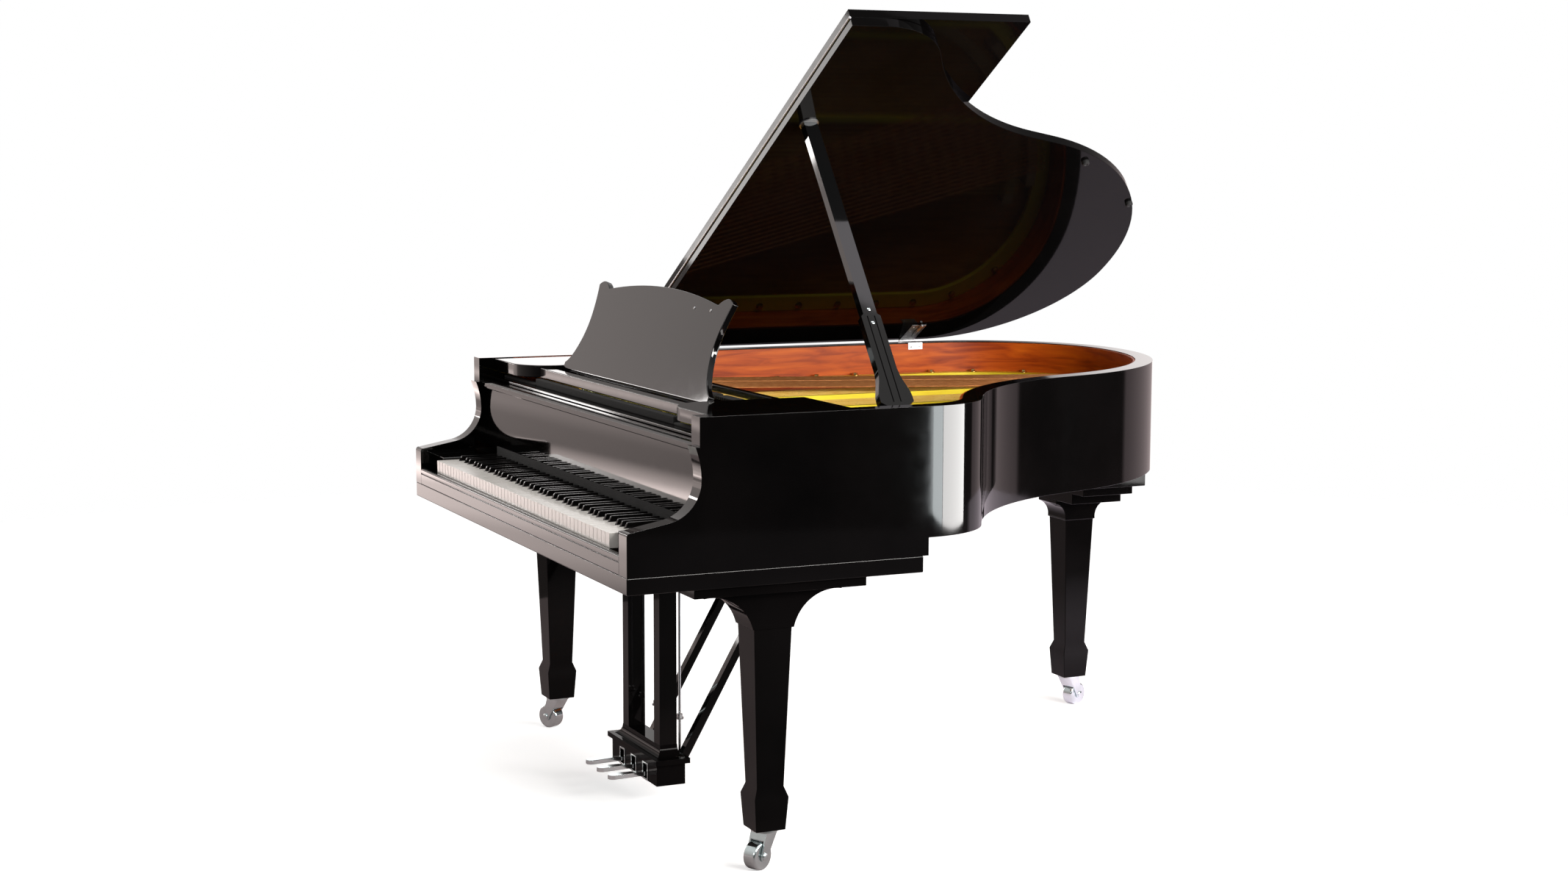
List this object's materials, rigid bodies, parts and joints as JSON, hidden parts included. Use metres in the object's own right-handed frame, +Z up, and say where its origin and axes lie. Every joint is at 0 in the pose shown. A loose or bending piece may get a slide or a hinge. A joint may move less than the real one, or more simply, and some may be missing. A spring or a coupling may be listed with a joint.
{
  "type": "grand piano",
  "caption": "Black grand piano with curved rim, propped lid with folded front flap, music desk, keyboard, pedal lyre and legs on casters.",
  "frame": {"origin": "on the floor under the middle of the case", "axes": "+Z up, -Y towards the player, +X to the treble side"},
  "size_m": [1.5227, 1.82, 1.7844],
  "materials": {
    "ebony_gloss": "high-gloss black polyester",
    "veneer": "polished red-brown veneer",
    "spruce": "satin varnish",
    "maple": "bare wood",
    "gold_iron": "gold bronze paint",
    "string_steel": "drawn wire",
    "copper": "copper winding",
    "bright_metal": "polished plating",
    "key_white": "polished key plastic",
    "key_black": "satin black",
    "damper_felt": "black wood over white felt"
  },
  "bodies": {
    "case": {"outer_rim": "ebony_gloss", "keybed": "ebony_gloss", "key_slip": "ebony_gloss", "cheek_blocks": "ebony_gloss", "stretcher_rail": "ebony_gloss", "leg_bass": "ebony_gloss", "leg_treble": "ebony_gloss", "leg_tail": "ebony_gloss", "leg_plates": "ebony_gloss", "lyre_posts": "ebony_gloss", "pedal_box": "ebony_gloss", "lyre_braces": "ebony_gloss", "shelf_sides": "ebony_gloss", "inner_rim": "veneer", "soundboard": "spruce", "pin_block": "maple", "bridges": "maple", "case_beams": "maple", "iron_plate": "gold_iron", "treble_strings": "string_steel", "tuning_pins": "string_steel", "bass_strings": "copper", "lid_hinge_lower": "bright_metal", "prop_bracket": "bright_metal", "pedal_escutcheons": "bright_metal"},
    "lid": {"main_lid": "ebony_gloss", "lid_hardware": "bright_metal"},
    "flap": {"lid_flap": "ebony_gloss"},
    "prop": {"lid_prop": "ebony_gloss"},
    "fallboard": {"fallboard": "ebony_gloss"},
    "tray": {"music_tray": "ebony_gloss"},
    "desk": {"music_desk": "ebony_gloss"},
    "desk_strut": {"desk_strut": "ebony_gloss"},
    "action": {"key_frame": "maple", "hammers": "maple"},
    "dampers": {"dampers": "damper_felt"},
    "pedal_soft": {"pedal_soft": "bright_metal"},
    "pedal_rod_soft": {"pedal_rod_soft": "bright_metal"},
    "pedal_sostenuto": {"pedal_sostenuto": "bright_metal"},
    "pedal_rod_sostenuto": {"pedal_rod_sostenuto": "bright_metal"},
    "pedal_sustain": {"pedal_sustain": "bright_metal"},
    "pedal_rod_sustain": {"pedal_rod_sustain": "bright_metal"},
    "caster_fork_treble": {"caster_fork_treble": "bright_metal"},
    "caster_wheel_treble": {"caster_wheel_treble": "bright_metal"},
    "caster_fork_bass": {"caster_fork_bass": "bright_metal"},
    "caster_wheel_bass": {"caster_wheel_bass": "bright_metal"},
    "caster_fork_tail": {"caster_fork_tail": "bright_metal"},
    "caster_wheel_tail": {"caster_wheel_tail": "bright_metal"},
    "keys_a": {"keys_a": "key_white"},
    "keys_b": {"keys_b": "key_white"},
    "keys_c": {"keys_c": "key_white"},
    "keys_d": {"keys_d": "key_white"},
    "keys_e": {"keys_e": "key_white"},
    "keys_f": {"keys_f": "key_white"},
    "keys_g": {"keys_g": "key_white"},
    "keys_a_sharp": {"keys_a_sharp": "key_black"},
    "keys_c_sharp": {"keys_c_sharp": "key_black"},
    "keys_d_sharp": {"keys_d_sharp": "key_black"},
    "keys_f_sharp": {"keys_f_sharp": "key_black"},
    "keys_g_sharp": {"keys_g_sharp": "key_black"}
  },
  "joints": [
    {"name": "lid_hinge", "type": "hinge", "parent": "case", "child": "lid", "pos_m": [-0.7545, 0, 0.9665], "axis": [0, -1, 0], "range_deg": [0, 25]},
    {"name": "flap_hinge", "type": "hinge", "parent": "lid", "child": "flap", "pos_m": [-0.12124, -0.315, 1.37728], "axis": [0.8545, 0, 0.5195], "range_deg": [0, 180]},
    {"name": "prop_fold", "type": "hinge", "parent": "case", "child": "prop", "pos_m": [0.655, -0.26, 0.935], "axis": [-0.6649, -0.5619, -0.4921], "range_deg": [0, 66]},
    {"name": "fallboard_hinge", "type": "hinge", "parent": "case", "child": "fallboard", "pos_m": [0, -0.729, 0.752], "axis": [1, 0, 0], "range_deg": [0, 90]},
    {"name": "tray_slide", "type": "slide", "parent": "case", "child": "tray", "axis": [0, -1, 0], "range_m": [0, 0.05]},
    {"name": "desk_hinge", "type": "hinge", "parent": "tray", "child": "desk", "pos_m": [0, -0.61, 0.956], "axis": [-1, 0, 0], "range_deg": [0, 68]},
    {"name": "desk_strut_hinge", "type": "hinge", "parent": "desk", "child": "desk_strut", "pos_m": [0, -0.57239, 1.02182], "axis": [1, 0, 0], "range_deg": [0, 118.7]},
    {"name": "action_shift", "type": "slide", "parent": "case", "child": "action", "axis": [1, 0, 0], "range_m": [0, 0.0025]},
    {"name": "damper_lift", "type": "slide", "parent": "case", "child": "dampers", "axis": [0, 0, 1], "range_m": [0, 0.006]},
    {"name": "pedal_soft_press", "type": "hinge", "parent": "case", "child": "pedal_soft", "pos_m": [-0.074, -0.585, 0.063], "axis": [1, 0, 0], "range_deg": [0, 6.1], "stiffness_Nm_per_rad": 30, "springref_deg": -5.73},
    {"name": "pedal_rod_soft_lift", "type": "slide", "parent": "case", "child": "pedal_rod_soft", "axis": [0, 0, 1], "range_m": [0, 0.0068]},
    {"name": "pedal_sostenuto_press", "type": "hinge", "parent": "case", "child": "pedal_sostenuto", "pos_m": [0, -0.585, 0.063], "axis": [1, 0, 0], "range_deg": [0, 6], "stiffness_Nm_per_rad": 30, "springref_deg": -5.73},
    {"name": "pedal_rod_sostenuto_lift", "type": "slide", "parent": "case", "child": "pedal_rod_sostenuto", "axis": [0, 0, 1], "range_m": [0, 0.0068]},
    {"name": "pedal_sustain_press", "type": "hinge", "parent": "case", "child": "pedal_sustain", "pos_m": [0.074, -0.585, 0.063], "axis": [1, 0, 0], "range_deg": [0, 6], "stiffness_Nm_per_rad": 30, "springref_deg": -5.73},
    {"name": "pedal_rod_sustain_lift", "type": "slide", "parent": "case", "child": "pedal_rod_sustain", "axis": [0, 0, 1], "range_m": [0, 0.0068]},
    {"name": "keys_a_press", "type": "hinge", "parent": "action", "child": "keys_a", "pos_m": [0, -0.655, 0.69], "axis": [1, 0, 0], "range_deg": [0, 2.4], "stiffness_Nm_per_rad": 6, "springref_deg": -11.46},
    {"name": "keys_b_press", "type": "hinge", "parent": "action", "child": "keys_b", "pos_m": [0, -0.655, 0.69], "axis": [1, 0, 0], "range_deg": [0, 2.4], "stiffness_Nm_per_rad": 6, "springref_deg": -11.46},
    {"name": "keys_c_press", "type": "hinge", "parent": "action", "child": "keys_c", "pos_m": [0, -0.655, 0.69], "axis": [1, 0, 0], "range_deg": [0, 2.4], "stiffness_Nm_per_rad": 6, "springref_deg": -11.46},
    {"name": "keys_d_press", "type": "hinge", "parent": "action", "child": "keys_d", "pos_m": [0, -0.655, 0.69], "axis": [1, 0, 0], "range_deg": [0, 2.4], "stiffness_Nm_per_rad": 6, "springref_deg": -11.46},
    {"name": "keys_e_press", "type": "hinge", "parent": "action", "child": "keys_e", "pos_m": [0, -0.655, 0.69], "axis": [1, 0, 0], "range_deg": [0, 2.4], "stiffness_Nm_per_rad": 6, "springref_deg": -11.46},
    {"name": "keys_f_press", "type": "hinge", "parent": "action", "child": "keys_f", "pos_m": [0, -0.655, 0.69], "axis": [1, 0, 0], "range_deg": [0, 2.4], "stiffness_Nm_per_rad": 6, "springref_deg": -11.46},
    {"name": "keys_g_press", "type": "hinge", "parent": "action", "child": "keys_g", "pos_m": [0, -0.655, 0.69], "axis": [1, 0, 0], "range_deg": [0, 2.4], "stiffness_Nm_per_rad": 6, "springref_deg": -11.46},
    {"name": "keys_a_sharp_press", "type": "hinge", "parent": "action", "child": "keys_a_sharp", "pos_m": [0, -0.655, 0.69], "axis": [1, 0, 0], "range_deg": [0, 2.4], "stiffness_Nm_per_rad": 6, "springref_deg": -11.46},
    {"name": "keys_c_sharp_press", "type": "hinge", "parent": "action", "child": "keys_c_sharp", "pos_m": [0, -0.655, 0.69], "axis": [1, 0, 0], "range_deg": [0, 2.4], "stiffness_Nm_per_rad": 6, "springref_deg": -11.46},
    {"name": "keys_d_sharp_press", "type": "hinge", "parent": "action", "child": "keys_d_sharp", "pos_m": [0, -0.655, 0.69], "axis": [1, 0, 0], "range_deg": [0, 2.4], "stiffness_Nm_per_rad": 6, "springref_deg": -11.46},
    {"name": "keys_f_sharp_press", "type": "hinge", "parent": "action", "child": "keys_f_sharp", "pos_m": [0, -0.655, 0.69], "axis": [1, 0, 0], "range_deg": [0, 2.4], "stiffness_Nm_per_rad": 6, "springref_deg": -11.46},
    {"name": "keys_g_sharp_press", "type": "hinge", "parent": "action", "child": "keys_g_sharp", "pos_m": [0, -0.655, 0.69], "axis": [1, 0, 0], "range_deg": [0, 2.4], "stiffness_Nm_per_rad": 6, "springref_deg": -11.46},
    {"name": "caster_treble_swivel", "type": "hinge", "parent": "case", "child": "caster_fork_treble", "pos_m": [0.655, -0.57, 0.084], "axis": [0, 0, 1], "continuous": true},
    {"name": "caster_treble_roll", "type": "hinge", "parent": "caster_fork_treble", "child": "caster_wheel_treble", "pos_m": [0.66627, -0.59119, 0.03], "axis": [0.8829, 0.4695, 0], "continuous": true},
    {"name": "caster_bass_swivel", "type": "hinge", "parent": "case", "child": "caster_fork_bass", "pos_m": [-0.655, -0.57, 0.084], "axis": [0, 0, 1], "continuous": true},
    {"name": "caster_bass_roll", "type": "hinge", "parent": "caster_fork_bass", "child": "caster_wheel_bass", "pos_m": [-0.67619, -0.58127, 0.03], "axis": [0.4695, -0.8829, 0], "continuous": true},
    {"name": "caster_tail_swivel", "type": "hinge", "parent": "case", "child": "caster_fork_tail", "pos_m": [-0.335, 0.775, 0.084], "axis": [0, 0, 1], "continuous": true},
    {"name": "caster_tail_roll", "type": "hinge", "parent": "caster_fork_tail", "child": "caster_wheel_tail", "pos_m": [-0.34321, 0.79755, 0.03], "axis": [-0.9397, -0.342, 0], "continuous": true}
  ],
  "couplings": [
    {"joint": "desk_strut_hinge", "follows": "desk_hinge", "ratio": 1.7303},
    {"joint": "pedal_soft_press", "follows": "action_shift", "rad_per_m": 41.888},
    {"joint": "damper_lift", "follows": "pedal_sustain_press", "m_per_rad": 0.0477},
    {"joint": "pedal_rod_soft_lift", "follows": "action_shift", "ratio": 2.6389},
    {"joint": "pedal_rod_sostenuto_lift", "follows": "pedal_sostenuto_press", "m_per_rad": 0.063},
    {"joint": "pedal_rod_sustain_lift", "follows": "pedal_sustain_press", "m_per_rad": 0.063}
  ]
}
